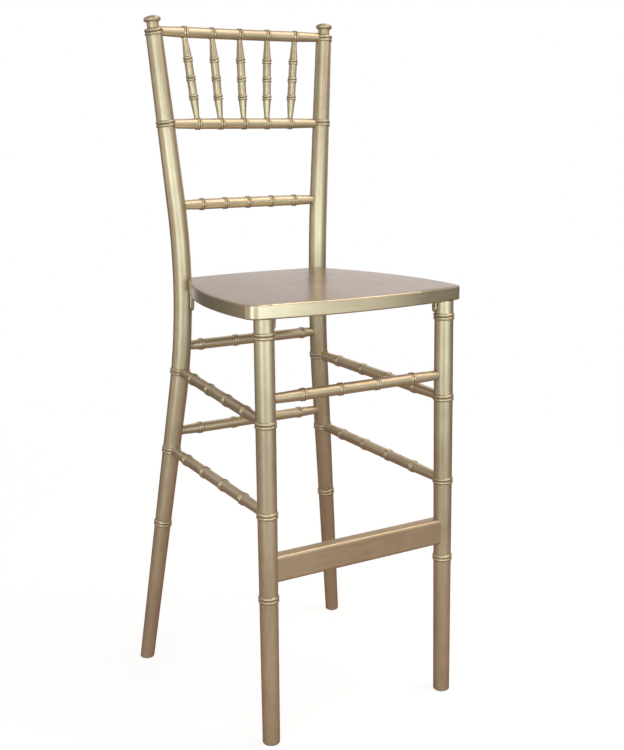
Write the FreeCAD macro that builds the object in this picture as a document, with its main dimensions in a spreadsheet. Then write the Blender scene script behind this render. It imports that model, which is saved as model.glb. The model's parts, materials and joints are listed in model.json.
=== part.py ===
import FreeCAD, Part
import math
import os

import Sketcher
from FreeCAD import Placement, Rotation, Vector

# A turned-wood chiavari bar stool. Millimetres, +Z up, standing on the floor at Z = 0.
# The sitter faces -Y, the left and right halves mirror each other about X = 0, and the origin
# is on the floor at the middle of the stool's outline.

# Driving dimensions. A drop is measured down from the top of the seat.

DRIVING_DIMENSIONS = (
    # stance of the four legs
    ("seat_height", 723),
    ("back_height", 445),
    ("foot_depth", 404),
    ("front_foot_spacing", 353),
    ("front_top_spacing", 350),
    ("front_leg_setback", 15.6),
    ("back_foot_spacing", 420),
    ("back_top_spacing", 349),
    ("back_top_forward", 19.8),
    # bend of the back posts, placed by the point where their straight runs would meet
    ("bend_spacing", 267.4),
    ("bend_forward", 54.9),
    ("bend_drop", 43),
    ("bend_radius", 1400),
    # turned sizes of the legs and posts
    ("front_leg_diameter", 32.4),
    ("front_foot_diameter", 28.6),
    ("front_taper_height", 480),
    ("post_diameter", 33),
    ("post_foot_diameter", 25.8),
    ("post_top_diameter", 28.2),
    ("foot_round", 3.5),
    ("collar_pitch", 5.7),
    ("collar_proud", 1.8),
    ("collar_below_bracket", 1.7),
    ("front_foot_collar_drop", 474.6),
    ("back_foot_collar_drop", 456),
    ("finial_diameter", 29.6),
    ("finial_height", 11),
    ("finial_edge_height", 8),
    ("finial_edge_swell", 2.5),
    ("finial_neck_diameter", 20.8),
    ("finial_neck_height", 10.2),
    ("finial_shoulder", 0.9),
    # rails and stretchers
    ("rail_diameter", 18.7),
    ("tenon_diameter", 16.5),
    ("tenon_clearance", 0.08),
    ("tenon_stop", 3),
    ("tenon_end_gap", 0.5),
    ("ring_pitch", 4.5),
    ("ring_proud", 1.5),
    ("stretcher_ring_spacing", 71.5),
    ("side_ring_shift", 5.5),
    ("back_bow_radius", 1220),
    ("mid_rail_rise", 125.3),
    ("mid_rail_ring_spacing", 48),
    ("upper_rear_drop", 124.3),
    ("lower_rear_drop", 282),
    ("front_stretcher_drop", 150.5),
    ("upper_side_front_drop", 189.8),
    ("upper_side_back_drop", 170.2),
    ("lower_side_front_drop", 335.8),
    ("lower_side_back_drop", 316),
    # spindles of the back
    ("crest_above_collar", 2.1),
    ("spindle_span", 154.8),
    ("spindle_top_spacing", 56.3),
    ("spindle_foot_spacing", 47.5),
    ("spindle_diameter", 14.5),
    ("spindle_neck_diameter", 9.8),
    ("spindle_clearance", 0.06),
    ("spindle_stop", 1.5),
    ("spindle_collar_spacing", 32.2),
    ("spindle_collar_pitch", 4.9),
    ("spindle_collar_proud", 1.4),
    # footrest board
    ("footrest_drop", 426.2),
    ("footrest_face", 44.3),
    ("footrest_thickness", 24),
    ("footrest_round", 5),
    ("footrest_setback", 2),
    ("footrest_stop", 6),
    ("footrest_clearance", 0.1),
    # seat panel
    ("seat_thickness", 23.3),
    ("seat_front_overhang", 12),
    ("seat_side_overhang", 29.7),
    ("seat_back_bite", 1.5),
    ("seat_back_bearing", 58.6),
    ("seat_front_radius", 1010),
    ("seat_side_radius", 538),
    ("seat_back_radius", 880),
    ("seat_front_corner", 20),
    ("seat_back_corner", 6),
    ("seat_edge_round", 2.5),
    ("seat_clearance", 0.1),
    ("seat_tenon_diameter", 20),
    ("seat_tenon_length", 14),
    # corner brackets and their screws
    ("bracket_leaf", 20),
    ("rear_bracket_drop", 36),
    ("front_bracket_turn", 17),
    ("rear_bracket_turn", 47.6),
    ("bracket_width", 16),
    ("bracket_gauge", 2),
    ("bracket_bend", 1.5),
    ("bracket_corner", 6.5),
    ("bracket_hole_offset", 12),
    ("bracket_hole_diameter", 4.4),
    ("bracket_gap", 0.05),
    ("screw_diameter", 3.8),
    ("screw_length", 14),
    ("screw_tip", 3),
    ("screw_head_diameter", 7.4),
    ("screw_head_height", 2.4),
    ("screw_slot_length", 4.4),
    ("screw_slot_width", 1.1),
    ("screw_slot_depth", 1.2),
    ("screw_clearance", 0.05),
)

SPINDLES = 5
STRETCHER_RINGS = 4
SIDES = {"left": -1, "right": 1}
UP = Vector(0, 0, 1)
ACROSS = Vector(1, 0, 0)
BACK = Vector(0, 1, 0)
TOLERANCE = 0.01
HALVINGS = 60

doc = FreeCAD.newDocument("chiavari_bar_stool")


# Sheets: the driving dimensions, and the lengths that follow from where the legs stand

def add_cell(sheet, row, alias, number):
    sheet.set(f"A{row}", f"{number}")
    sheet.setAlias(f"A{row}", alias)


dims = doc.addObject("Spreadsheet::Sheet", "dims")
for row, (alias, number) in enumerate(DRIVING_DIMENSIONS, start=1):
    add_cell(dims, row, alias, number)
spans = doc.addObject("Spreadsheet::Sheet", "spans")
span_names = []
doc.recompute()


def dim(alias):
    return float(dims.get(alias))


def add_span(alias, number):
    """Keep a worked-out length in the sheet and return the expression that reads it."""
    span_names.append(alias)
    add_cell(spans, len(span_names), alias, number)
    spans.recompute()
    return f"spans.{alias}"


# Stance: the centre line and radius of each leg and post

def axes_placement(origin, z_axis, x_hint):
    """Placement whose local Z follows z_axis, with local X as near to x_hint as it can be."""
    z_unit = Vector(z_axis).normalize()
    y_unit = z_unit.cross(x_hint).normalize()
    x_unit = y_unit.cross(z_unit)
    return Placement(origin, Rotation(x_unit, y_unit, z_unit, "ZXY"))


class FrontLeg:
    """Straight leg from the floor to the underside of the seat."""

    def __init__(self, side, foot_y):
        self.side = side
        self.foot = Vector(side * dim("front_foot_spacing") / 2, foot_y, 0)
        top_y = foot_y + dim("front_leg_setback")
        self.top = Vector(side * dim("front_top_spacing") / 2, top_y, seat_underside)
        self.axis = (self.top - self.foot).normalize()
        self.length = (self.top - self.foot).Length
        self.placement = axes_placement(self.foot, self.axis, ACROSS)

    def point(self, height):
        return self.foot + self.axis * (height / self.axis.z)

    def radius(self, height):
        share = min(1, height / self.axis.z / dim("front_taper_height"))
        foot, full = dim("front_foot_diameter"), dim("front_leg_diameter")
        return (foot + (full - foot) * share) / 2


class BackPost:
    """Bent post: a straight run, an arc and a straight run in the local XZ plane."""

    def __init__(self, side, foot_y):
        self.side = side
        self.foot = Vector(side * dim("back_foot_spacing") / 2, foot_y, 0)
        bend_height = dim("seat_height") - dim("bend_drop")
        bend = Vector(side * dim("bend_spacing") / 2, foot_y - dim("bend_forward"), bend_height)
        top = Vector(side * dim("back_top_spacing") / 2, foot_y - dim("back_top_forward"), overall_height)
        lower_axis = (bend - self.foot).normalize()
        upper_axis = (top - bend).normalize()
        self.bend_angle = lower_axis.getAngle(upper_axis)
        setback = dim("bend_radius") * math.tan(self.bend_angle / 2)
        self.lower_length = (bend - self.foot).Length - setback
        self.upper_length = (top - bend).Length - setback
        self.upper_start = self.lower_length + dim("bend_radius") * self.bend_angle
        self.placement = axes_placement(self.foot, lower_axis, upper_axis)

    def bend_at(self, distance):
        """Angle turned from the lower run at a distance along the centre line."""
        return min(max((distance - self.lower_length) / dim("bend_radius"), 0), self.bend_angle)

    def local_point(self, distance):
        angle = self.bend_at(distance)
        straight = min(distance - self.lower_length, 0) + max(distance - self.upper_start, 0)
        x = dim("bend_radius") * (1 - math.cos(angle)) + straight * math.sin(angle)
        z = self.lower_length + dim("bend_radius") * math.sin(angle) + straight * math.cos(angle)
        return Vector(x, 0, z)

    def point_along(self, distance):
        return self.placement.multVec(self.local_point(distance))

    def distance(self, height):
        """Distance along the centre line at which the post reaches a height."""
        low, high = 0, self.upper_start + self.upper_length
        for _ in range(HALVINGS):
            middle = (low + high) / 2
            if self.point_along(middle).z < height:
                low = middle
            else:
                high = middle
        return low

    def point(self, height):
        return self.point_along(self.distance(height))

    def tangent(self, height):
        angle = self.bend_at(self.distance(height))
        return self.placement.Rotation.multVec(Vector(math.sin(angle), 0, math.cos(angle)))

    def radius(self, height):
        along = self.distance(height)
        foot, full, top = dim("post_foot_diameter"), dim("post_diameter"), dim("post_top_diameter")
        if along < self.lower_length:
            return (foot + (full - foot) * along / self.lower_length) / 2
        if along > self.upper_start:
            return (full + (top - full) * (along - self.upper_start) / self.upper_length) / 2
        return full / 2


def outline_middle():
    """How far the middle of the outline lies behind the front feet."""
    half_front = dim("front_top_spacing") / 2 + dim("seat_side_overhang")
    front_radius = dim("seat_front_radius")
    bow = front_radius - math.sqrt(front_radius ** 2 - half_front ** 2)
    front = dim("front_leg_setback") - dim("seat_front_overhang") - bow
    back = dim("foot_depth") + dim("post_foot_diameter") / 2
    return (front + back) / 2


def below_seat(drop):
    return dim("seat_height") - dim(drop)


seat_underside = below_seat("seat_thickness")
overall_height = dim("seat_height") + dim("back_height")
front_foot_y = -outline_middle()
back_foot_y = front_foot_y + dim("foot_depth")
legs = {name: FrontLeg(side, front_foot_y) for name, side in SIDES.items()}
posts = {name: BackPost(side, back_foot_y) for name, side in SIDES.items()}

# The left and right uprights are mirror images, so lengths are worked out on the right-hand ones
model_leg = legs["right"]
model_post = posts["right"]
crest_collar = model_post.upper_length - sum(
    dim(alias) for alias in ("finial_height", "finial_neck_height", "finial_shoulder", "collar_pitch"))
crest_height = model_post.point_along(model_post.upper_start + crest_collar).z + dim("crest_above_collar")
lower_back_rail_height = crest_height - dim("spindle_span")
mid_rail_height = dim("seat_height") + dim("mid_rail_rise")

add_span("leg_length", model_leg.length)
add_span("leg_rise", model_leg.axis.z)
add_span("post_lower_length", model_post.lower_length)
add_span("post_upper_length", model_post.upper_length)
add_span("bend_angle", math.degrees(model_post.bend_angle))
add_span("foot_collar", model_post.distance(below_seat("back_foot_collar_drop")))
add_span("lower_side_collar", model_post.distance(below_seat("lower_side_back_drop")))
add_span("upper_side_collar_radius", model_post.radius(below_seat("upper_side_back_drop")))
add_span("back_rail_collar", model_post.distance(lower_back_rail_height) - model_post.upper_start)
add_span("crest_collar", crest_collar)


# Sketch and feature helpers

def new_body(label):
    body = doc.addObject("PartDesign::Body", label)
    body.Label = label
    return body


def new_sketch(body, name, role="XZ_Plane", offset=None):
    sketch = body.newObject("Sketcher::SketchObject", name)
    plane = next(item for item in body.Origin.OriginFeatures if item.Role == role)
    sketch.AttachmentSupport = [(plane, "")]
    sketch.MapMode = "FlatFace"
    if offset is not None:
        sketch.AttachmentOffset = offset
    return sketch


def bind(sketch, expression, kind, *references):
    """Add a dimension to a sketch and tie its value to a sheet expression."""
    number = float(sketch.evalExpression(expression))
    index = sketch.addConstraint(Sketcher.Constraint(kind, *references, number))
    sketch.setExpression(f"Constraints[{index}]", expression)


def pin_point(sketch, geometry, point, expressions):
    """Hold one sketch point at a pair of sheet expressions; zero puts it on the sketch's axis."""
    for kind, axis, expression in (("DistanceX", -2, expressions[0]), ("DistanceY", -1, expressions[1])):
        if expression == "0":
            sketch.addConstraint(Sketcher.Constraint("PointOnObject", geometry, point, axis))
        else:
            bind(sketch, expression, kind, -1, 1, geometry, point)


def outward_arc(start, end, radius):
    """Arc from start to end that swells to the right of the way it is drawn."""
    chord = end - start
    inward = Vector(-chord.y, chord.x, 0).normalize()
    centre = (start + end) * 0.5 + inward * math.sqrt(radius ** 2 - (chord.Length / 2) ** 2)
    circle = Part.Circle(centre, UP, radius)
    return Part.ArcOfCircle(circle, circle.parameter(start), circle.parameter(end))


def draw_outline(sketch, corners):
    """Closed outline drawn counter-clockwise. A corner is (x, y), or (x, y, radius of the arc after it)."""
    points = [Vector(*(float(sketch.evalExpression(text)) for text in corner[:2])) for corner in corners]
    edges = []
    for corner, start, end in zip(corners, points, points[1:] + points[:1]):
        if len(corner) == 3:
            line = outward_arc(start, end, float(sketch.evalExpression(corner[2])))
        else:
            line = Part.LineSegment(start, end)
        edges.append(sketch.addGeometry(line))
    for edge, following in zip(edges, edges[1:] + edges[:1]):
        sketch.addConstraint(Sketcher.Constraint("Coincident", edge, 2, following, 1))
    for edge, corner in zip(edges, corners):
        pin_point(sketch, edge, 1, corner[:2])
        if len(corner) == 3:
            bind(sketch, corner[2], "Radius", edge)


def turn(body, name, corners, offset=None):
    """Turn a closed outline of (radius, distance) corners about the sketch's upright axis."""
    sketch = new_sketch(body, f"{name}_outline", offset=offset)
    draw_outline(sketch, corners)
    turning = body.newObject("PartDesign::Revolution", name)
    turning.Profile = sketch
    turning.ReferenceAxis = (sketch, ["V_Axis"])
    turning.Angle = 360
    doc.recompute()


def closed_on_axis(corners):
    return [("0", corners[0][1]), *corners, ("0", corners[-1][1])]


def swell_radius(chord, proud):
    """Radius of the arc that stands proud of its chord by the given amount."""
    return f"({chord} * {chord} / 4 + {proud} * {proud}) / (2 * {proud})"


def double_bead(radius, middle, pitch, proud):
    """Two half-round beads side by side on a turning, as three outline corners."""
    swell = swell_radius(pitch, proud)
    return [
        (radius, f"{middle} - {pitch}", swell),
        (radius, middle, swell),
        (radius, f"{middle} + {pitch}"),
    ]


def collar(radius, middle):
    return double_bead(radius, middle, "dims.collar_pitch", "dims.collar_proud")


def bend_bar(body, name, diameter, hinge, angle, start=None):
    """Round bar swung about a hinge line that crosses local X; with no start it swings both ways from Z = 0."""
    sketch = new_sketch(body, f"{name}_section", "XY_Plane")
    if start is not None:
        sketch.setExpression("AttachmentOffset.Base.z", start)
    width = float(sketch.evalExpression(diameter))
    section = sketch.addGeometry(Part.Circle(Vector(), UP, width / 2))
    sketch.addConstraint(Sketcher.Constraint("Coincident", section, 3, -1, 1))
    bind(sketch, f"{diameter} / 2", "Radius", section)
    hinge_foot = ACROSS * float(sketch.evalExpression(hinge))
    hinge_line = sketch.addGeometry(Part.LineSegment(hinge_foot, hinge_foot + BACK * width), True)
    sketch.addConstraint(Sketcher.Constraint("Vertical", hinge_line))
    pin_point(sketch, hinge_line, 1, (hinge, "0"))
    bind(sketch, diameter, "DistanceY", hinge_line, 1, hinge_line, 2)
    bend = body.newObject("PartDesign::Revolution", name)
    bend.Profile = sketch
    bend.ReferenceAxis = (sketch, ["Axis0"])
    bend.Midplane = start is None
    bend.setExpression("Angle", angle)
    doc.recompute()


def bead_on_bend(body, name, radius, pitch, proud, frame):
    """Double bead round a bent bar. The beads start a little under its surface."""
    sunk = f"{proud} / 12"
    core = f"{radius} / 2"
    beads = double_bead(f"({radius} - {sunk})", f"0 * {pitch}", pitch, f"({proud} + {sunk})")
    turn(body, name, [(core, beads[0][1]), *beads, (core, beads[-1][1])], frame)


def bore(body, name, world, radius, depth, may_miss=False):
    """Round hole from the world placement's origin along its Z axis."""
    hole = body.newObject("PartDesign::SubtractiveCylinder", name)
    hole.Placement = body.Placement.inverse() * world
    hole.setExpression("Radius", radius)
    hole.setExpression("Height", depth)
    before = body.Shape.Volume
    doc.recompute()
    if body.Shape.Volume >= before and not may_miss:
        raise RuntimeError(f"{body.Label}: {name} cuts nothing")


def trim(body, name, plane):
    """Cut away the end of a turning beyond a world plane, on the side its Z axis points to."""
    reach = dim("post_diameter") + dim("front_leg_diameter")
    block = body.newObject("PartDesign::SubtractiveBox", name)
    block.Placement = body.Placement.inverse() * plane * Placement(Vector(-reach, -reach, 0), Rotation())
    block.Length = 2 * reach
    block.Width = 2 * reach
    block.Height = reach
    doc.recompute()


def fillet(body, name, wanted, radius):
    """Round the edges of the body's last feature that the test picks out."""
    base = body.Tip
    edges = [f"Edge{number}" for number, edge in enumerate(base.Shape.Edges, start=1) if wanted(edge)]
    rounding = body.newObject("PartDesign::Fillet", name)
    rounding.Base = (base, edges)
    rounding.setExpression("Radius", radius)
    doc.recompute()


def pad(body, name, sketch, length, midplane=False):
    feature = body.newObject("PartDesign::Pad", name)
    feature.Profile = sketch
    feature.setExpression("Length", length)
    feature.SideType = "Symmetric" if midplane else "One side"
    doc.recompute()


# Rails and stretchers: each runs from one upright's axis to another's and ends in round tenons

class Rail:
    """What all rails share: two ends, each an (upright, height) pair, and the mortises they go into."""

    def __init__(self, label, ends):
        self.label = label
        self.ends = ends
        self.points = [upright.point(height) for upright, height in ends]
        self.middle = (self.points[0] + self.points[1]) * 0.5
        self.direction = (self.points[1] - self.points[0]).normalize()
        self.end_directions = [self.direction, self.direction]
        self.surfaces = [add_span(f"{label}_surface_{index}", upright.radius(height))
                         for index, (upright, height) in enumerate(ends)]

    def cut_mortise(self, upright, body):
        """Blind bore in an upright for the tenon that ends there."""
        for (support, height), point, direction, surface, sign in zip(
                self.ends, self.points, self.end_directions, self.surfaces, (1, -1)):
            if support is upright:
                outside = point + direction * (sign * 2 * upright.radius(height))
                bore(body, f"{self.label}_mortise", axes_placement(outside, direction * -sign, UP),
                     "dims.tenon_diameter / 2 + dims.tenon_clearance",
                     f"2 * {surface} - dims.tenon_stop + dims.tenon_end_gap")


class Stretcher(Rail):
    """Straight rail with evenly spaced double rings."""

    def __init__(self, label, ends, ring_shift="0"):
        super().__init__(label, ends)
        middle_ring = (STRETCHER_RINGS - 1) / 2
        self.rings = [f"({index - middle_ring}) * dims.stretcher_ring_spacing + {ring_shift}"
                      for index in range(STRETCHER_RINGS)]
        self.half_span = add_span(f"{label}_half_span", (self.points[1] - self.points[0]).Length / 2)

    def build(self):
        tenon = "dims.tenon_diameter / 2"
        past_collar = "2 * dims.collar_proud"
        corners = [
            (tenon, f"dims.tenon_stop - {self.half_span}"),
            (tenon, f"{self.surfaces[0]} + {past_collar} - {self.half_span}"),
        ]
        for ring in self.rings:
            corners += double_bead("dims.rail_diameter / 2", ring, "dims.ring_pitch", "dims.ring_proud")
        corners += [
            (tenon, f"{self.half_span} - {self.surfaces[1]} - {past_collar}"),
            (tenon, f"{self.half_span} - dims.tenon_stop"),
        ]
        body = new_body(self.label)
        turn(body, "rail_turning", closed_on_axis(corners))
        body.Placement = axes_placement(self.middle, self.direction, UP)
        return body


class BackRail(Rail):
    """Rail bowed back between the posts: an arc between its outer rings and straight runs to the posts."""

    def __init__(self, label, height, spacing):
        super().__init__(label, level_ends(posts, height))
        self.spacing = spacing
        self.outer_ring = self.spacing * (SPINDLES - 1) / 2
        bend = self.outer_ring / dim("back_bow_radius")
        half_chord = (self.points[1] - self.points[0]).Length / 2
        end_run = (half_chord - dim("back_bow_radius") * math.sin(bend)) / math.cos(bend)
        bow = dim("back_bow_radius") * (1 - math.cos(bend)) + end_run * math.sin(bend)
        self.end_directions = [ACROSS * math.cos(bend) - BACK * (side * math.sin(bend))
                               for side in SIDES.values()]
        self.placement = axes_placement(self.middle + BACK * bow, ACROSS, BACK)
        self.bend_angle = add_span(f"{label}_bend_angle", 2 * math.degrees(bend))
        self.end_run = add_span(f"{label}_end_run", end_run)

    def frame_at(self, distance):
        """Where a sketch in the local XZ plane has its upright axis along the arc, from its middle."""
        radius = dim("back_bow_radius")
        angle = distance / radius
        point = Vector(radius * (math.cos(angle) - 1), radius * math.sin(angle), 0)
        return Placement(point, Rotation(UP, math.degrees(angle)))

    def ring_point(self, step):
        """World point on the centre line, a number of ring spacings from the middle."""
        point = self.frame_at(step * self.spacing).Base
        return self.placement.multVec(Vector(point.x, 0, point.y))

    def build(self):
        radius, tenon = "dims.rail_diameter / 2", "dims.tenon_diameter / 2"
        body = new_body(self.label)
        body.Placement = self.placement
        bend_bar(body, "bow", "dims.rail_diameter", "-dims.back_bow_radius", self.bend_angle)
        for (name, side), surface in zip(SIDES.items(), self.surfaces):
            shoulder = f"{side} * ({self.end_run} - {surface} - 2 * dims.collar_proud)"
            tip = f"{side} * ({self.end_run} - dims.tenon_stop)"
            turn(body, f"{name}_end", [("0", "0"), (radius, "0"), (tenon, shoulder), (tenon, tip), ("0", tip)],
                 self.frame_at(side * self.outer_ring))
        for index in range(SPINDLES):
            distance = (index - (SPINDLES - 1) / 2) * self.spacing
            bead_on_bend(body, f"ring_{index + 1}", radius, "dims.ring_pitch", "dims.ring_proud",
                         self.frame_at(distance))
        return body


def level_ends(uprights, height):
    return [(uprights["left"], height), (uprights["right"], height)]


crest_rail = BackRail("crest_rail", crest_height, dim("spindle_top_spacing"))
lower_back_rail = BackRail("lower_back_rail", lower_back_rail_height, dim("spindle_foot_spacing"))
mid_back_rail = BackRail("mid_back_rail", mid_rail_height, dim("mid_rail_ring_spacing"))
rails = [crest_rail, lower_back_rail, mid_back_rail]
for label, uprights, drop in (("front_stretcher", legs, "front_stretcher_drop"),
                              ("upper_rear_stretcher", posts, "upper_rear_drop"),
                              ("lower_rear_stretcher", posts, "lower_rear_drop")):
    rails.append(Stretcher(label, level_ends(uprights, below_seat(drop))))
for name in SIDES:
    for level in ("upper", "lower"):
        front_end = (legs[name], below_seat(f"{level}_side_front_drop"))
        back_end = (posts[name], below_seat(f"{level}_side_back_drop"))
        rails.append(Stretcher(f"{name}_{level}_side_stretcher", [front_end, back_end], "dims.side_ring_shift"))


# Spindles: fanned between the lower back rail and the crest rail

class Spindle:
    def __init__(self, index):
        self.label = f"spindle_{index + 1}"
        step = index - (SPINDLES - 1) / 2
        self.foot = lower_back_rail.ring_point(step)
        self.head = crest_rail.ring_point(step)
        self.direction = (self.head - self.foot).normalize()
        self.half_span = add_span(f"{self.label}_half_span", (self.head - self.foot).Length / 2)

    def build(self):
        neck = "dims.spindle_neck_diameter / 2"
        past_ring = "(dims.rail_diameter / 2 + 2 * dims.ring_proud)"
        corners = [
            (neck, f"dims.spindle_stop - {self.half_span}"),
            (neck, f"{past_ring} - {self.half_span}"),
        ]
        for step in (-1, 0, 1):
            corners += double_bead("dims.spindle_diameter / 2", f"{step} * dims.spindle_collar_spacing",
                                   "dims.spindle_collar_pitch", "dims.spindle_collar_proud")
        corners += [
            (neck, f"{self.half_span} - {past_ring}"),
            (neck, f"{self.half_span} - dims.spindle_stop"),
        ]
        body = new_body(self.label)
        turn(body, "spindle_turning", closed_on_axis(corners))
        body.Placement = axes_placement((self.foot + self.head) * 0.5, self.direction, ACROSS)
        return body

    def cut_mortises(self):
        for rail, end, sign in ((lower_back_rail, self.foot, 1), (crest_rail, self.head, -1)):
            outside = end + self.direction * (sign * dim("rail_diameter"))
            bore(rail_bodies[rail.label], f"{self.label}_mortise",
                 axes_placement(outside, self.direction * -sign, ACROSS),
                 "dims.spindle_neck_diameter / 2 + dims.spindle_clearance",
                 "dims.rail_diameter - dims.spindle_stop + dims.tenon_end_gap")


# Footrest board: leans with the front legs and is housed in both of them

footrest_height = below_seat("footrest_drop")
footrest_half_span = model_leg.point(footrest_height).x
footrest_middle = Vector(0, model_leg.point(footrest_height).y + dim("footrest_setback"), footrest_height)
footrest_lean = Vector(0, model_leg.axis.y, model_leg.axis.z)
footrest_frame = axes_placement(footrest_middle, footrest_lean, ACROSS)
footrest_length = add_span("footrest_length", 2 * (footrest_half_span - dim("footrest_stop")))


def footrest_section(body, name, clearance, offset=None):
    """Section of the board across X: a rectangle with all four long edges rounded."""
    sketch = new_sketch(body, name, "YZ_Plane", offset)
    half_depth = f"(dims.footrest_thickness / 2 + {clearance})"
    half_face = f"(dims.footrest_face / 2 + {clearance})"
    radius = f"(dims.footrest_round + {clearance})"
    draw_outline(sketch, [
        (f"{radius} - {half_depth}", f"-{half_face}"),
        (f"{half_depth} - {radius}", f"-{half_face}", radius),
        (half_depth, f"{radius} - {half_face}"),
        (half_depth, f"{half_face} - {radius}", radius),
        (f"{half_depth} - {radius}", half_face),
        (f"{radius} - {half_depth}", half_face, radius),
        (f"-{half_depth}", f"{half_face} - {radius}"),
        (f"-{half_depth}", f"{radius} - {half_face}", radius),
    ])
    return sketch


def build_footrest():
    body = new_body("footrest_board")
    pad(body, "board", footrest_section(body, "board_section", "0"), footrest_length, midplane=True)
    body.Placement = footrest_frame
    return body


def house_footrest(leg, body):
    """Blind housing for the end of the board, cut out through the leg's inner side."""
    floor = footrest_half_span - dim("footrest_stop") + dim("tenon_end_gap")
    local = body.Placement.inverse() * footrest_frame * Placement(ACROSS * (leg.side * floor), Rotation())
    yz_plane = Placement(Vector(), Rotation(Vector(0, 1, 0), UP, ACROSS, "ZXY"))
    housing = body.newObject("PartDesign::Pocket", "footrest_housing")
    housing.Profile = footrest_section(body, "housing_section", "dims.footrest_clearance",
                                       yz_plane.inverse() * local * yz_plane)
    housing.setExpression("Length", "dims.front_leg_diameter")
    housing.Reversed = leg.side < 0
    before = body.Shape.Volume
    doc.recompute()
    if body.Shape.Volume >= before:
        raise RuntimeError(f"{body.Label}: the footrest housing cuts nothing")


# Uprights: turned over length, cut level with the floor, then bored for the rails

def finish_foot(upright, body):
    """Cut the foot level with the floor and round its edge."""
    trim(body, "floor_cut", Placement(upright.foot, Rotation(ACROSS, 180)))
    world = body.Placement

    def on_floor(edge):
        points = [*(vertex.Point for vertex in edge.Vertexes), edge.CenterOfMass]
        return all(abs(world.multVec(point).z) < TOLERANCE for point in points)

    fillet(body, "foot_rounding", on_floor, "dims.foot_round")


def build_leg(name):
    leg = legs[name]
    foot, full = "dims.front_foot_diameter", "dims.front_leg_diameter"

    def along(drop):
        return f"((dims.seat_height - {drop}) / spans.leg_rise)"

    def radius(distance):
        return f"({foot} + ({full} - {foot}) * min(1; {distance} / dims.front_taper_height)) / 2"

    below_floor = f"-{foot} / 4"
    bracket_foot = "dims.seat_thickness + dims.bracket_leaf"
    corners = [(radius(below_floor), below_floor)]
    for drop in ("dims.front_foot_collar_drop", "dims.lower_side_front_drop", "dims.upper_side_front_drop",
                 f"({bracket_foot} + dims.collar_below_bracket + dims.collar_pitch)"):
        corners += collar(radius(along(drop)), along(drop))
    corners.append((f"{full} / 2", f"spans.leg_length + {full} / 4"))
    body = new_body(f"{name}_front_leg")
    body.Placement = leg.placement
    turn(body, "leg_turning", closed_on_axis(corners))
    finish_foot(leg, body)
    trim(body, "shoulder_cut", Placement(leg.top - UP * dim("seat_clearance"), Rotation()))
    tenon = body.newObject("PartDesign::AdditiveCylinder", "seat_tenon")
    tenon.setExpression("Placement.Base.z", "spans.leg_length - dims.seat_tenon_length")
    tenon.setExpression("Radius", "dims.seat_tenon_diameter / 2")
    tenon.setExpression("Height", "2 * dims.seat_tenon_length")
    doc.recompute()
    house_footrest(leg, body)
    return body


def build_post(name):
    post = posts[name]
    foot, full, top = "dims.post_foot_diameter", "dims.post_diameter", "dims.post_top_diameter"
    lower, upper = "spans.post_lower_length", "spans.post_upper_length"
    body = new_body(f"{name}_back_post")
    body.Placement = post.placement

    def lower_radius(along):
        return f"({foot} + ({full} - {foot}) * {along} / {lower}) / 2"

    def upper_radius(along):
        return f"({full} + ({top} - {full}) * {along} / {upper}) / 2"

    def run_frame(distance):
        """Where a sketch in the local XZ plane has its upright axis along the centre line."""
        point = post.local_point(distance)
        return Placement(Vector(point.x, point.z, 0), Rotation(UP, -math.degrees(post.bend_at(distance))))

    below_floor = f"-{foot} / 2"
    corners = [(lower_radius(below_floor), below_floor)]
    for along in ("spans.foot_collar", "spans.lower_side_collar"):
        corners += collar(lower_radius(along), along)
    corners.append((f"{full} / 2", lower))
    turn(body, "lower_turning", closed_on_axis(corners))
    bend_bar(body, "bend", full, "dims.bend_radius", "spans.bend_angle", lower)

    neck = "dims.finial_neck_diameter / 2"
    button = "(dims.finial_diameter / 2 - dims.finial_edge_swell)"
    button_foot = f"{upper} - dims.finial_height"
    button_edge = swell_radius("dims.finial_edge_height", "dims.finial_edge_swell")
    dome = swell_radius(f"(2 * {button})", "(dims.finial_height - dims.finial_edge_height)")
    corners = [("0", "0"), (f"{full} / 2", "0")]
    for along in ("spans.back_rail_collar", "spans.crest_collar"):
        corners += collar(upper_radius(along), along)
    corners += [
        (neck, f"{button_foot} - dims.finial_neck_height"),
        (neck, button_foot),
        (button, button_foot, button_edge),
        (button, f"{button_foot} + dims.finial_edge_height", dome),
        ("0", upper),
    ]
    turn(body, "upper_turning", corners, run_frame(post.upper_start))

    bead_on_bend(body, "side_collar", "spans.upper_side_collar_radius", "dims.collar_pitch", "dims.collar_proud",
                 run_frame(post.distance(below_seat("upper_side_back_drop"))))
    finish_foot(post, body)
    return body


# Seat panel: sits on the front legs, fits over their tenons and is scooped to fit the posts

seat_middle = (seat_underside + dim("seat_height")) / 2
post_at_seat = model_post.point(seat_middle)
back_reach = dim("post_diameter") / 2 - dim("seat_back_bite")
back_bearing = math.radians(dim("seat_back_bearing"))
seat_front_x = add_span("seat_front_x", model_leg.top.x + dim("seat_side_overhang"))
seat_front_y = add_span("seat_front_y", model_leg.top.y - dim("seat_front_overhang"))
seat_back_x = add_span("seat_back_x", post_at_seat.x - back_reach * math.cos(back_bearing))
seat_back_y = add_span("seat_back_y", post_at_seat.y - back_reach * math.sin(back_bearing))


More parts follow.
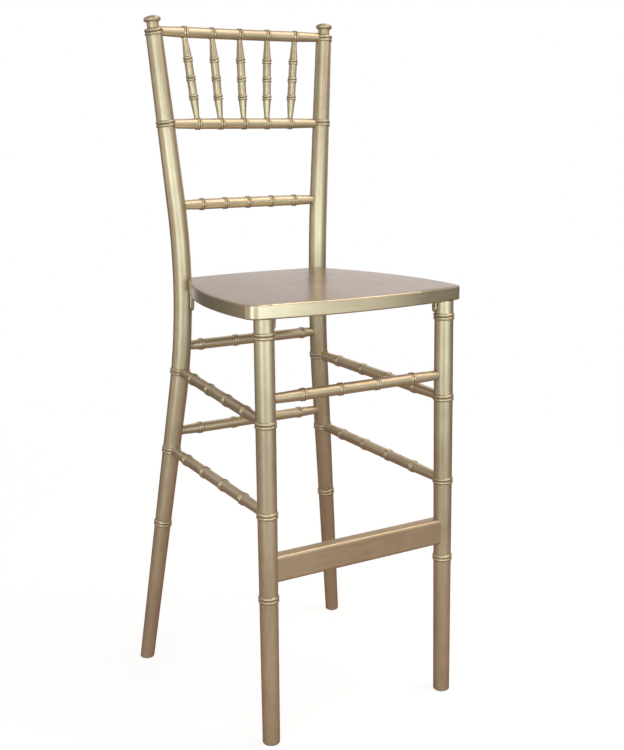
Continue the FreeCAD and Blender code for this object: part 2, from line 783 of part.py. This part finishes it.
def build_seat():
    body = new_body("seat_panel")
    body.Placement = Placement(UP * seat_underside, Rotation())
    sketch = new_sketch(body, "seat_outline", "XY_Plane")
    draw_outline(sketch, [
        (f"-{seat_front_x}", seat_front_y, "dims.seat_front_radius"),
        (seat_front_x, seat_front_y, "dims.seat_side_radius"),
        (seat_back_x, seat_back_y, "dims.seat_back_radius"),
        (f"-{seat_back_x}", seat_back_y, "dims.seat_side_radius"),
    ])
    pad(body, "seat_board", sketch, "dims.seat_thickness")

    def upright(edge):
        ends = [vertex.Point for vertex in edge.Vertexes]
        return (ends[-1] - ends[0]).cross(UP).Length < TOLERANCE

    fillet(body, "front_corners", lambda edge: upright(edge) and edge.CenterOfMass.y < 0, "dims.seat_front_corner")
    fillet(body, "back_corners", lambda edge: upright(edge) and edge.CenterOfMass.y > 0, "dims.seat_back_corner")

    def level(edge):
        heights = [vertex.Z for vertex in edge.Vertexes]
        return max(heights) - min(heights) < TOLERANCE

    fillet(body, "rim_rounding", level, "dims.seat_edge_round")
    for name, post in posts.items():
        tangent = post.tangent(seat_middle)
        start = post.point(seat_middle) - tangent * dim("seat_thickness")
        bore(body, f"{name}_post_scoop", axes_placement(start, tangent, ACROSS),
             "dims.post_diameter / 2 + dims.seat_clearance", "2 * dims.seat_thickness", may_miss=True)
    for name, leg in legs.items():
        start = leg.top - leg.axis * dim("seat_tenon_length")
        bore(body, f"{name}_leg_mortise", axes_placement(start, leg.axis, ACROSS),
             "dims.seat_tenon_diameter / 2 + dims.seat_clearance",
             "2 * dims.seat_tenon_length + dims.tenon_end_gap")
    return body


# Corner brackets: one leaf on the upright, one under the seat. At the back the upright leaf is longer.
# In a bracket's frame X points in under the seat and the origin is its outer corner.

BRACKETS = {
    "front": ("bracket_leaf", "front_bracket_turn"),
    "rear": ("rear_bracket_drop", "rear_bracket_turn"),
}
BRACKET_STEPS = 4


def bracket_frame(upright, drop, bracket_turn):
    """Faces across the seat, turned towards its middle, and touches the upright's side."""
    level = upright.point(seat_underside)
    angle = math.radians(dim(bracket_turn))
    inward = Vector(-upright.side * math.cos(angle), -math.copysign(math.sin(angle), level.y), 0)
    heights = [seat_underside - dim(drop) * step / BRACKET_STEPS for step in range(BRACKET_STEPS + 1)]
    stand_off = max(upright.radius(height) + (upright.point(height) - level).dot(inward) for height in heights)
    corner = level + inward * (stand_off + dim("bracket_gap")) - UP * dim("bracket_gap")
    return axes_placement(corner, UP, inward)


def leg_screw_frame():
    """Under the head of the screw into the upright, with Z pointing into it."""
    return axes_placement(Vector(dim("bracket_gauge"), 0, -dim("bracket_hole_offset")), ACROSS * -1, UP)


def seat_screw_frame():
    """Under the head of the screw into the seat, with Z pointing up."""
    return axes_placement(Vector(dim("bracket_hole_offset"), 0, -dim("bracket_gauge")), UP, ACROSS)


def build_bracket(label, world, drop):
    body = new_body(label)
    sketch = new_sketch(body, "bracket_section")
    leaf, gauge = "dims.bracket_leaf", "dims.bracket_gauge"
    draw_outline(sketch, [
        ("0", "0"),
        ("0", f"-dims.{drop}"),
        (gauge, f"-dims.{drop}"),
        (gauge, f"-{gauge}"),
        (leaf, f"-{gauge}"),
        (leaf, "0"),
    ])
    pad(body, "bracket_strip", sketch, "dims.bracket_width", midplane=True)

    def across_strip(edge):
        ends = [vertex.Point for vertex in edge.Vertexes]
        return abs(ends[-1].y - ends[0].y) > TOLERANCE

    def leaf_end(edge):
        point = edge.CenterOfMass
        at_end = point.x > dim("bracket_leaf") - TOLERANCE or -point.z > dim(drop) - TOLERANCE
        return at_end and not across_strip(edge)

    def bend_line(depth):
        """Test for the edge along the bend, at a depth under its outer corner."""
        corner = Vector(depth, 0, -depth)
        return lambda edge: across_strip(edge) and (edge.CenterOfMass - corner).Length < TOLERANCE

    fillet(body, "leaf_corners", leaf_end, "dims.bracket_corner")
    fillet(body, "inner_bend", bend_line(dim("bracket_gauge")), "dims.bracket_bend")
    fillet(body, "outer_bend", bend_line(0), "dims.bracket_bend + dims.bracket_gauge")
    for name, frame in (("leg_hole", leg_screw_frame()), ("seat_hole", seat_screw_frame())):
        start = frame * Placement(UP * (-dim("bracket_gauge")), Rotation())
        bore(body, name, start, "dims.bracket_hole_diameter / 2", "3 * dims.bracket_gauge")
    body.Placement = world
    return body


# Screws: one domed blank with a crossed slot, its seat at the origin and its point along Z

def build_screw():
    body = new_body("screw_blank")
    shank = "dims.screw_diameter / 2"
    dome = swell_radius("dims.screw_head_diameter", "(dims.screw_head_height - dims.screw_clearance)")
    turn(body, "screw_turning", [
        ("0", "-dims.screw_head_height", dome),
        ("dims.screw_head_diameter / 2", "-dims.screw_clearance"),
        (shank, "-dims.screw_clearance"),
        (shank, "dims.screw_length - dims.screw_tip"),
        ("0", "dims.screw_length"),
    ])
    corner = Vector(-dim("screw_slot_length") / 2, -dim("screw_slot_width") / 2,
                    -dim("screw_head_height") - dim("screw_slot_depth"))
    for name, turned in (("slot", 0), ("cross_slot", 90)):
        slot = body.newObject("PartDesign::SubtractiveBox", name)
        slot.setExpression("Length", "dims.screw_slot_length")
        slot.setExpression("Width", "dims.screw_slot_width")
        slot.setExpression("Height", "2 * dims.screw_slot_depth")
        slot.Placement = Placement(Vector(), Rotation(UP, turned)) * Placement(corner, Rotation())
        doc.recompute()
    return body


def add_screw(body, name, world):
    """Bore a pilot hole in a piece and put a screw in it."""
    bore(body, f"{name}_pilot", world, "dims.screw_diameter / 2 + dims.screw_clearance",
         "dims.screw_length + dims.tenon_end_gap")
    link = doc.addObject("App::Link", f"{name}_screw")
    link.LinkedObject = screw_blank
    link.Placement = world
    return link


# Build the pieces

spindles = [Spindle(index) for index in range(SPINDLES)]
rail_bodies = {rail.label: rail.build() for rail in rails}
spindle_bodies = [spindle.build() for spindle in spindles]
for spindle in spindles:
    spindle.cut_mortises()
footrest = build_footrest()
leg_bodies = {name: build_leg(name) for name in SIDES}
post_bodies = {name: build_post(name) for name in SIDES}
seat = build_seat()
screw_blank = build_screw()
bracket_bodies = []
screw_links = []
for place, uprights, bodies in (("front", legs, leg_bodies), ("rear", posts, post_bodies)):
    for name, upright in uprights.items():
        for rail in rails:
            rail.cut_mortise(upright, bodies[name])
        drop, bracket_turn = BRACKETS[place]
        frame = bracket_frame(upright, drop, bracket_turn)
        bracket_bodies.append(build_bracket(f"{name}_{place}_bracket", frame, drop))
        screw_links.append(add_screw(bodies[name], f"{name}_{place}_leg", frame * leg_screw_frame()))
        screw_links.append(add_screw(seat, f"{name}_{place}_seat", frame * seat_screw_frame()))
screws = doc.addObject("Part::Compound", "bracket_screws")
screws.Label = "bracket_screws"
screws.Links = screw_links
doc.recompute()


# Check every object, then write one file for each piece

pieces = [*leg_bodies.values(), *post_bodies.values(), seat, *rail_bodies.values(), *spindle_bodies, footrest,
          *bracket_bodies, screws]
for item in doc.Objects:
    if any(word in item.State for word in ("Invalid", "Error")):
        raise RuntimeError(f"{item.Name} failed: {item.State}")
for piece in pieces:
    if piece.Shape.isNull() or not piece.Shape.isValid():
        raise RuntimeError(f"{piece.Label} has no valid shape")
os.makedirs("parts", exist_ok=True)
for piece in pieces:
    piece.Shape.exportStep(f"parts/{piece.Label}.step")
    print(piece.Label, len(piece.Shape.Solids), round(piece.Shape.Volume / 1000, 1), "cm3")
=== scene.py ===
import json
import math

import bpy
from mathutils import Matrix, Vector

# A gold-painted chiavari bar stool, in a studio that the camera sees as white.
# Metres, +Z up, the sitter faces -Y. Colours are linear.

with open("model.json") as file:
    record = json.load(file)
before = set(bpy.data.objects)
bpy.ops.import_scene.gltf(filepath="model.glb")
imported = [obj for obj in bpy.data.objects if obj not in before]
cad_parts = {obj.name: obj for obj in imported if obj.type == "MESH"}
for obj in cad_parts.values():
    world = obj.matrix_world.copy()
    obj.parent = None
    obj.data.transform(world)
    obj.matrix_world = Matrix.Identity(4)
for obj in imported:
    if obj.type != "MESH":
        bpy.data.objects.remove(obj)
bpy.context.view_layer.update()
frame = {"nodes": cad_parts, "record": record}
scene = bpy.context.scene

# Camera, solved from the photograph: angles in radians, lens and sensor in millimetres
CAMERA_PLACE = Vector((-1.0862, -1.7440, 1.0001))
CAMERA_YAW = 0.56939
CAMERA_PITCH = -0.21219
CAMERA_LENS = 57.6
CAMERA_SENSOR = 36.0

# Paint colours
GOLD = (0.55, 0.48, 0.342)
GOLD_DEEP = (0.39, 0.325, 0.22)
# A darker, rosier copy of the gold for the footrest: painted shade for the low board
FOOTREST_SHADED_GOLD = (0.51, 0.42, 0.29)
FOOTREST_SHADED_GOLD_DEEP = (0.38, 0.30, 0.20)
GRAZING_TINT = (0.60, 0.50, 0.43)

# Paint gloss
METAL_SHARE = 0.80
WOOD_ROUGHNESS = 0.41
SEAT_ROUGHNESS = 0.31
FOOTREST_ROUGHNESS = 0.40
BRACKET_ROUGHNESS = 0.40
SCREW_ROUGHNESS = 0.35
ROUGHNESS_SPREAD = 0.03
BOARD_ROUGHNESS_SPREAD = 0.04
COAT_ROUGHNESS = 0.24
WOOD_COAT = 0.4
SEAT_COAT = 1.0
HARDWARE_COAT = 0.3

# Paint pattern: grain and clouds make the colour, grain and flake make the relief
GRAIN_NOISE = {"Scale": 1.0, "Detail": 5.0, "Roughness": 0.6}
CLOUD_NOISE = {"Scale": 9.0, "Detail": 8.0, "Roughness": 0.7}
FLAKE_NOISE = {"Scale": 2600.0, "Detail": 1.0}
GRAIN_LOW, GRAIN_HIGH = 0.3, 0.7
GRAIN_SHARE = 0.55
SEAT_GRAIN_SHARE = 0.4
FOOTREST_GRAIN_SHARE = 0.8
DEEP_LEVEL, GOLD_LEVEL = 0.20, 0.65
FLAKE_SHARE = 0.25
RELIEF = 0.10
SEAT_RELIEF = 0.05
RELIEF_DEPTH = 0.0001

# Texture scales along X, Y and Z: low along the grain, high across it
ALONG = 20.0
THROUGH = 800.0
BOARD_ACROSS = 120.0
BOARD_THROUGH = 900.0
HARDWARE_SCALE = 300.0
UPRIGHT_GRAIN = (THROUGH, THROUGH, ALONG)
CROSS_GRAIN = (ALONG, THROUGH, THROUGH)
SIDE_GRAIN = (THROUGH, ALONG, THROUGH)
BOARD_GRAIN = (ALONG, BOARD_ACROSS, BOARD_THROUGH)
HARDWARE_GRAIN = (HARDWARE_SCALE, HARDWARE_SCALE, HARDWARE_SCALE)

# Paint is paler on the edges, as wear and as a painted highlight along the rounded edges, and, except on
# the boards, darker in the grooves as painted shade
OCCLUSION_SAMPLES = 6
EDGE_REACH = 0.0025
EDGE_LOW, EDGE_HIGH = 0.1, 0.6
EDGE_TONE = 1.12
GROOVE_REACH = 0.004
GROOVE_LOW, GROOVE_HIGH = 0.45, 0.95
GROOVE_SHADE_TONE = 0.58

# Floor: the colour shows in reflections and bounced light, the glow and the shade to the camera
FLOOR_HALF = 2.5
FLOOR_COLOUR = (0.405, 0.265, 0.23, 1)
FLOOR_GLOW = 0.78
FLOOR_SHADE = (0.285, 0.30, 0.305, 1)
FADE_START, FADE_END = 0.7, 2.2

# World: the backdrop is a soft-edged disc of sky, and the ceiling levels are sines of the elevation
BACKDROP_YAW = CAMERA_YAW + math.radians(20)
BACKDROP_RISE = math.radians(12)
BACKDROP_RIM = math.radians(42)
BACKDROP_CORE = math.radians(6)
BACKDROP_COLOUR = (1.0, 0.92, 0.98, 1)
BACKDROP_GLOSS = 0.58
ROOM_COLOUR = (1.0, 0.90, 0.84, 1)
ROOM_STRENGTH = 0.13
CEILING_STRENGTH = 0.44
CEILING_START, CEILING_FULL = 0.35, 0.85
WHITE = (1, 1, 1, 1)

# Lamps
COOL = (0.88, 1.0, 0.97)
NEUTRAL = (0.97, 1.0, 0.92)
PALE = (1.0, 0.95, 0.90)
WARM = (1.0, 0.84, 0.72)
AMBER = (1.0, 0.76, 0.56)
LAMP_TARGET = Vector((0, 0, 0.8))
# Name, azimuth in degrees from the front (positive to the right), distance, height, size, radiance, colour
LAMPS = (
    ("key", -60, 2.5, 0.8, (1.25, 1.15), 3.7, COOL),
    ("key_fill", -30, 2.5, 0.95, (1.3, 1.1), 2.1, COOL),
    ("front", 0, 2.5, 0.8, (1.25, 1.15), 3.5, COOL),
    ("front_right", 28, 2.5, 0.4, (1.2, 0.7), 1.1, NEUTRAL),
    ("top_right", 72, 1.4, 3.3, (1.2, 1.2), 3.2, PALE),
    ("warm_front", 52, 1.9, 2.6, (1.3, 1.3), 3.0, AMBER),
    ("right_fill", 38, 2.4, 1.7, (1.5, 0.8), 1.3, PALE),
    ("warm_left", -42, 2.12, 2.12, (1.3, 1.3), 1.7, WARM),
    ("left_side", -108, 2.5, 0.8, (2.2, 1.2), 0.85, WARM),
    ("right_side", 100, 2.5, 1.2, (1.3, 1.2), 0.4, WARM),
    ("back_low", 150, 2.6, 0.5, (2.6, 0.9), 1.5, NEUTRAL),
    ("back_left", -152, 2.4, 1.9, (2.4, 1.3), 0.55, PALE),
    ("rim", 150, 2.12, 2.4, (1.6, 1.1), 1.1, PALE),
)


def add_node(tree, kind, **settings):
    node = tree.nodes.new(kind)
    for name, value in settings.items():
        setattr(node, name, value)
    return node


def set_inputs(node, **values):
    for name, value in values.items():
        node.inputs[name.replace("_", " ")].default_value = value
    return node


def add_noise(tree, vector, settings):
    noise = set_inputs(add_node(tree, "ShaderNodeTexNoise"), **settings)
    tree.links.new(vector, noise.inputs["Vector"])
    return noise.outputs["Fac"]


def add_range(tree, value, low, high, start, end, **settings):
    """Map low to high onto start to end."""
    node = add_node(tree, "ShaderNodeMapRange", **settings)
    set_inputs(node, From_Min=low, From_Max=high, To_Min=start, To_Max=end)
    tree.links.new(value, node.inputs["Value"])
    return node.outputs["Result"]


def add_math(tree, operation, first, second):
    node = add_node(tree, "ShaderNodeMath", operation=operation)
    tree.links.new(first, node.inputs[0])
    tree.links.new(second, node.inputs[1])
    return node.outputs["Value"]


def add_share(tree, value, share, rest):
    """A share of one value added to the rest."""
    node = add_node(tree, "ShaderNodeMath", operation="MULTIPLY_ADD")
    tree.links.new(value, node.inputs[0])
    node.inputs[1].default_value = share
    tree.links.new(rest, node.inputs[2])
    return node.outputs["Value"]


def add_mix(tree, factor, first, second):
    node = add_node(tree, "ShaderNodeMixShader")
    tree.links.new(factor, node.inputs["Fac"])
    tree.links.new(first, node.inputs[1])
    tree.links.new(second, node.inputs[2])
    return node.outputs["Shader"]


def new_material(name):
    material = bpy.data.materials.new(name)
    material.use_nodes = True
    material.node_tree.nodes.clear()
    return material, material.node_tree


def gold_paint(name, streaks, roughness, coat, gold=GOLD, gold_deep=GOLD_DEEP, board=False,
               grain_share=GRAIN_SHARE, relief=RELIEF):
    """Satin gold paint over wood or steel. streaks is the grain's texture scale along X, Y and Z.
    A flat board gets no painted shade in its grooves."""
    material, tree = new_material(name)
    link = tree.links.new
    place = add_node(tree, "ShaderNodeTexCoord")
    stretch = set_inputs(add_node(tree, "ShaderNodeMapping"), Scale=streaks)
    link(place.outputs["Object"], stretch.inputs["Vector"])
    grain = add_noise(tree, stretch.outputs["Vector"], GRAIN_NOISE)
    cloud = add_noise(tree, place.outputs["Object"], CLOUD_NOISE)
    flake = add_noise(tree, place.outputs["Object"], FLAKE_NOISE)

    tone = add_share(tree, grain, grain_share, cloud)
    # The grain averages one half, so the stops move up by half its share
    ramp = add_node(tree, "ShaderNodeValToRGB")
    stops = ramp.color_ramp.elements
    stops[0].position = DEEP_LEVEL + grain_share / 2
    stops[0].color = (*gold_deep, 1)
    stops[1].position = min(GOLD_LEVEL + grain_share / 2, 1.0)
    stops[1].color = (*gold, 1)
    link(tone, ramp.inputs["Fac"])

    # Paler edges: partly wear, partly a painted highlight along the rounded edges
    edge = add_node(tree, "ShaderNodeAmbientOcclusion", samples=OCCLUSION_SAMPLES, only_local=True, inside=True)
    set_inputs(edge, Distance=EDGE_REACH)
    wear_and_painted_light = add_range(tree, edge.outputs["AO"], EDGE_LOW, EDGE_HIGH, 1.0, EDGE_TONE)
    # Darker grooves, where shade falls: painted shade
    if not board:
        groove = add_node(tree, "ShaderNodeAmbientOcclusion", samples=OCCLUSION_SAMPLES, only_local=True)
        set_inputs(groove, Distance=GROOVE_REACH)
        groove_shade = add_range(tree, groove.outputs["AO"], GROOVE_LOW, GROOVE_HIGH, GROOVE_SHADE_TONE, 1.0)
        wear_and_painted_light = add_math(tree, "MULTIPLY", groove_shade, wear_and_painted_light)
    colour = add_node(tree, "ShaderNodeVectorMath", operation="SCALE")
    link(ramp.outputs["Color"], colour.inputs["Vector"])
    link(wear_and_painted_light, colour.inputs["Scale"])

    spread = BOARD_ROUGHNESS_SPREAD if board else ROUGHNESS_SPREAD
    gloss = add_range(tree, grain, GRAIN_LOW, GRAIN_HIGH, roughness - spread, roughness + spread)
    height = add_share(tree, flake, FLAKE_SHARE, grain)
    bump = set_inputs(add_node(tree, "ShaderNodeBump"), Strength=relief, Distance=RELIEF_DEPTH)
    link(height, bump.inputs["Height"])

    shader = add_node(tree, "ShaderNodeBsdfPrincipled")
    set_inputs(shader, Metallic=METAL_SHARE, Specular_Tint=(*GRAZING_TINT, 1), Coat_Weight=coat,
               Coat_Roughness=COAT_ROUGHNESS)
    link(colour.outputs["Vector"], shader.inputs["Base Color"])
    link(gloss, shader.inputs["Roughness"])
    link(bump.outputs["Normal"], shader.inputs["Normal"])
    output = add_node(tree, "ShaderNodeOutputMaterial")
    link(shader.outputs["BSDF"], output.inputs["Surface"])
    return material


def paint_stool():
    paints = {
        "upright_wood": gold_paint("gold_upright", UPRIGHT_GRAIN, WOOD_ROUGHNESS, WOOD_COAT),
        "cross_wood": gold_paint("gold_cross", CROSS_GRAIN, WOOD_ROUGHNESS, WOOD_COAT),
        "side_wood": gold_paint("gold_side", SIDE_GRAIN, WOOD_ROUGHNESS, WOOD_COAT),
        "seat_wood": gold_paint("gold_seat", BOARD_GRAIN, SEAT_ROUGHNESS, SEAT_COAT, board=True,
                                grain_share=SEAT_GRAIN_SHARE, relief=SEAT_RELIEF),
        # The footrest takes the darker copy of the gold: painted shade
        "footrest_wood": gold_paint("gold_footrest", BOARD_GRAIN, FOOTREST_ROUGHNESS, WOOD_COAT,
                                    FOOTREST_SHADED_GOLD, FOOTREST_SHADED_GOLD_DEEP, board=True,
                                    grain_share=FOOTREST_GRAIN_SHARE),
        "bracket_metal": gold_paint("gold_bracket", HARDWARE_GRAIN, BRACKET_ROUGHNESS, HARDWARE_COAT),
        "screw_metal": gold_paint("gold_screw", HARDWARE_GRAIN, SCREW_ROUGHNESS, HARDWARE_COAT),
    }
    for subpart in frame["record"]["subparts"]:
        node = frame["nodes"][subpart["node"]]
        for slot in node.material_slots:
            slot.material = paints[subpart["material_slot"]]


def build_floor():
    """White with a faint shadow to the camera, and rose brown in reflections and bounced light."""
    mesh = bpy.data.meshes.new("floor")
    corners = [(-FLOOR_HALF, -FLOOR_HALF, 0), (FLOOR_HALF, -FLOOR_HALF, 0),
               (FLOOR_HALF, FLOOR_HALF, 0), (-FLOOR_HALF, FLOOR_HALF, 0)]
    mesh.from_pydata(corners, [], [(0, 1, 2, 3)])
    floor = bpy.data.objects.new("floor", mesh)
    scene.collection.objects.link(floor)
    material, tree = new_material("studio_floor")
    link = tree.links.new
    matte = set_inputs(add_node(tree, "ShaderNodeBsdfDiffuse"), Color=FLOOR_COLOUR)
    glow = set_inputs(add_node(tree, "ShaderNodeEmission"), Strength=FLOOR_GLOW)
    shade = set_inputs(add_node(tree, "ShaderNodeBsdfDiffuse"), Color=FLOOR_SHADE)
    seen_floor = add_node(tree, "ShaderNodeAddShader")
    link(glow.outputs["Emission"], seen_floor.inputs[0])
    link(shade.outputs["BSDF"], seen_floor.inputs[1])

    # Is Glossy Ray isn't among these, so metal shows the matte floor
    path = add_node(tree, "ShaderNodeLightPath")
    seen = add_math(tree, "MAXIMUM", path.outputs["Is Camera Ray"], path.outputs["Is Transmission Ray"])
    pick = add_mix(tree, seen, matte.outputs["BSDF"], seen_floor.outputs["Shader"])

    # The floor fades out towards its edge
    place = add_node(tree, "ShaderNodeTexCoord")
    reach = add_node(tree, "ShaderNodeVectorMath", operation="LENGTH")
    link(place.outputs["Object"], reach.inputs[0])
    fade = add_range(tree, reach.outputs["Value"], FADE_START, FADE_END, 0.0, 1.0,
                     interpolation_type="SMOOTHSTEP")
    clear = add_node(tree, "ShaderNodeBsdfTransparent")
    faded = add_mix(tree, fade, pick, clear.outputs["BSDF"])
    output = add_node(tree, "ShaderNodeOutputMaterial")
    link(faded, output.inputs["Surface"])
    mesh.materials.append(material)


def build_world():
    """White all round to the camera. It lights the stool as a dim, warm room with a brighter ceiling,
    and in reflections there is also a pale backdrop behind the stool."""
    world = bpy.data.worlds.new("studio")
    scene.world = world
    world.use_nodes = True
    tree = world.node_tree
    tree.nodes.clear()
    link = tree.links.new
    direction = add_node(tree, "ShaderNodeTexCoord")
    facing = add_node(tree, "ShaderNodeVectorMath", operation="DOT_PRODUCT")
    link(direction.outputs["Generated"], facing.inputs[0])
    facing.inputs[1].default_value = (math.sin(BACKDROP_YAW) * math.cos(BACKDROP_RISE),
                                      math.cos(BACKDROP_YAW) * math.cos(BACKDROP_RISE),
                                      math.sin(BACKDROP_RISE))
    cone = add_range(tree, facing.outputs["Value"], math.cos(BACKDROP_RIM), math.cos(BACKDROP_CORE),
                     0.0, 1.0, interpolation_type="SMOOTHSTEP")
    path = add_node(tree, "ShaderNodeLightPath")
    mirrored = add_math(tree, "MAXIMUM", path.outputs["Is Glossy Ray"], path.outputs["Is Transmission Ray"])
    in_cone = add_math(tree, "MULTIPLY", mirrored, cone)

    height = add_node(tree, "ShaderNodeSeparateXYZ")
    link(direction.outputs["Generated"], height.inputs["Vector"])
    ceiling = add_range(tree, height.outputs["Z"], CEILING_START, CEILING_FULL,
                        ROOM_STRENGTH, CEILING_STRENGTH, interpolation_type="SMOOTHSTEP")
    room = set_inputs(add_node(tree, "ShaderNodeBackground"), Color=ROOM_COLOUR)
    link(ceiling, room.inputs["Strength"])
    backdrop = set_inputs(add_node(tree, "ShaderNodeBackground"), Color=BACKDROP_COLOUR,
                          Strength=BACKDROP_GLOSS)
    white = set_inputs(add_node(tree, "ShaderNodeBackground"), Color=WHITE, Strength=1.0)
    surroundings = add_mix(tree, in_cone, room.outputs["Background"], backdrop.outputs["Background"])
    seen = add_mix(tree, path.outputs["Is Camera Ray"], surroundings, white.outputs["Background"])
    output = add_node(tree, "ShaderNodeOutputWorld")
    link(seen, output.inputs["Surface"])


def add_softbox(name, azimuth, distance, height, size, radiance, colour):
    """Soft rectangular lamp, aimed at the stool just above its seat."""
    lamp = bpy.data.lights.new(name, "AREA")
    lamp.shape = "RECTANGLE"
    lamp.size, lamp.size_y = size
    lamp.energy = radiance * math.pi * size[0] * size[1]
    lamp.color = colour
    box = bpy.data.objects.new(name, lamp)
    scene.collection.objects.link(box)
    angle = math.radians(azimuth)
    box.location = (distance * math.sin(angle), -distance * math.cos(angle), height)
    box.rotation_euler = (LAMP_TARGET - box.location).to_track_quat("-Z", "Y").to_euler()


def build_camera():
    lens = bpy.data.cameras.new("photo_camera")
    lens.lens = CAMERA_LENS
    lens.sensor_width = CAMERA_SENSOR
    camera = bpy.data.objects.new("photo_camera", lens)
    scene.collection.objects.link(camera)
    camera.location = CAMERA_PLACE
    camera.rotation_euler = (math.pi / 2 + CAMERA_PITCH, 0, -CAMERA_YAW)
    scene.camera = camera


paint_stool()
build_floor()
build_world()
for softbox in LAMPS:
    add_softbox(*softbox)
build_camera()
scene.view_settings.view_transform = "Standard"
